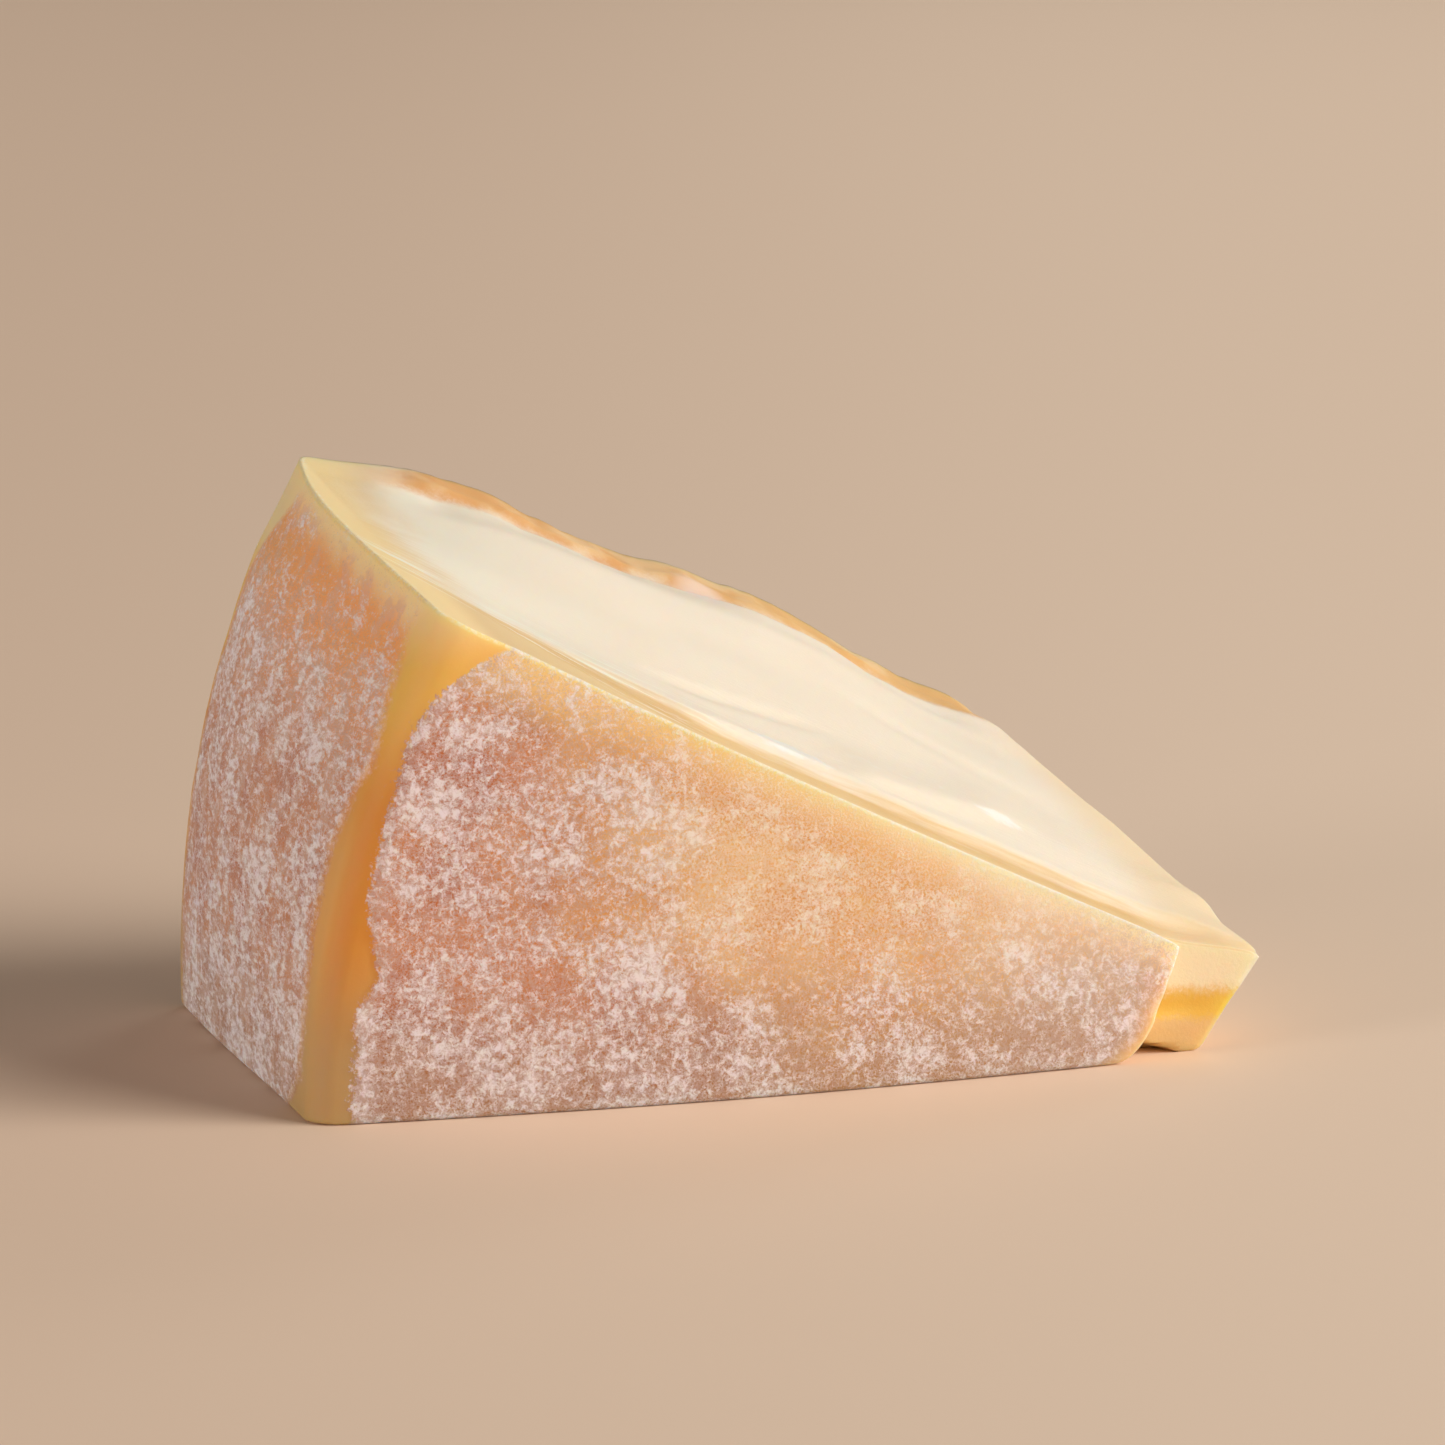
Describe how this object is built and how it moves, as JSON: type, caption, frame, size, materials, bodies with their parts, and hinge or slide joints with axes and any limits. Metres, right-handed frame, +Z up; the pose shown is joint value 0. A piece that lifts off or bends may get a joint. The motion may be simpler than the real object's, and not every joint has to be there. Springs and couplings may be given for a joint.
{
  "type": "cheese wedge",
  "caption": "Wedge of washed-rind cheese lying on a cut face, with a bloomed rind on its rim and both sides, a soft cream paste and a trimmed tip.",
  "frame": {"origin": "on the resting surface, under the middle of the wedge's box", "axes": "+X from the rim to the tip, +Y from the near rind face to the far one, +Z up from the resting surface"},
  "size_m": [0.1082, 0.0648, 0.0612],
  "materials": {
    "rind_and_paste": "natural cheese: matt orange rind under a white bloom, and a moist satin cream paste on the upper cut and the tip"
  },
  "bodies": {
    "root": {"cheese_wedge": "rind_and_paste"}
  },
  "joints": []
}
